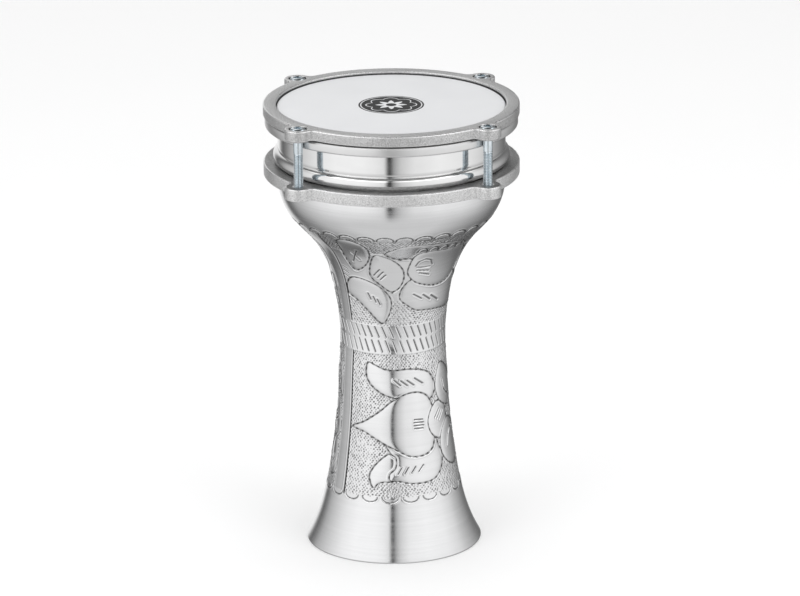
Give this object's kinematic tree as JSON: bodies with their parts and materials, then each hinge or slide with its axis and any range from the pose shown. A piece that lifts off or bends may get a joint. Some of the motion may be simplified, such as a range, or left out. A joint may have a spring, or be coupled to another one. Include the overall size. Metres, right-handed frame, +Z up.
{
  "type": "darbuka",
  "caption": "Goblet-shaped hand drum of spun aluminium with a film head, held by a cast tension ring, screws and a backing ring.",
  "frame": {"origin": "on the floor, in the middle of the open foot", "axes": "+Z up along the drum's axis towards the head; the four screws stand at 45 degrees to X and Y; -Y is the front"},
  "size_m": [0.16, 0.16, 0.2865],
  "materials": {
    "spun_aluminium": "satin",
    "polished_aluminium": "polished",
    "cast_aluminium": "cast",
    "film": "satin",
    "zinc_steel": "zinc plated"
  },
  "bodies": {
    "body": {"shell": "spun_aluminium", "backing_ring": "cast_aluminium", "drum_head": "film"},
    "tension_ring": {"tension_ring": "cast_aluminium", "head_hoop": "polished_aluminium"},
    "screw_1": {"tension_screw_1": "zinc_steel"},
    "screw_2": {"tension_screw_2": "zinc_steel"},
    "screw_3": {"tension_screw_3": "zinc_steel"},
    "screw_4": {"tension_screw_4": "zinc_steel"}
  },
  "joints": [
    {"name": "head_tension", "type": "slide", "parent": "body", "child": "tension_ring", "axis": [0, 0, 1], "range_m": [-0.002, 0.004]},
    {"name": "screw_1_turn", "type": "hinge", "parent": "tension_ring", "child": "screw_1", "pos_m": [0.05827, 0.05827, 0.2832], "axis": [0, 0, 1], "range_deg": [-721, 1441]},
    {"name": "screw_2_turn", "type": "hinge", "parent": "tension_ring", "child": "screw_2", "pos_m": [-0.05827, 0.05827, 0.2832], "axis": [0, 0, 1], "range_deg": [-721, 1441]},
    {"name": "screw_3_turn", "type": "hinge", "parent": "tension_ring", "child": "screw_3", "pos_m": [-0.05827, -0.05827, 0.2832], "axis": [0, 0, 1], "range_deg": [-721, 1441]},
    {"name": "screw_4_turn", "type": "hinge", "parent": "tension_ring", "child": "screw_4", "pos_m": [0.05827, -0.05827, 0.2832], "axis": [0, 0, 1], "range_deg": [-721, 1441]}
  ],
  "couplings": [
    {"joint": "screw_1_turn", "follows": "head_tension", "rad_per_m": 6283.2},
    {"joint": "screw_2_turn", "follows": "head_tension", "rad_per_m": 6283.2},
    {"joint": "screw_3_turn", "follows": "head_tension", "rad_per_m": 6283.2},
    {"joint": "screw_4_turn", "follows": "head_tension", "rad_per_m": 6283.2}
  ]
}
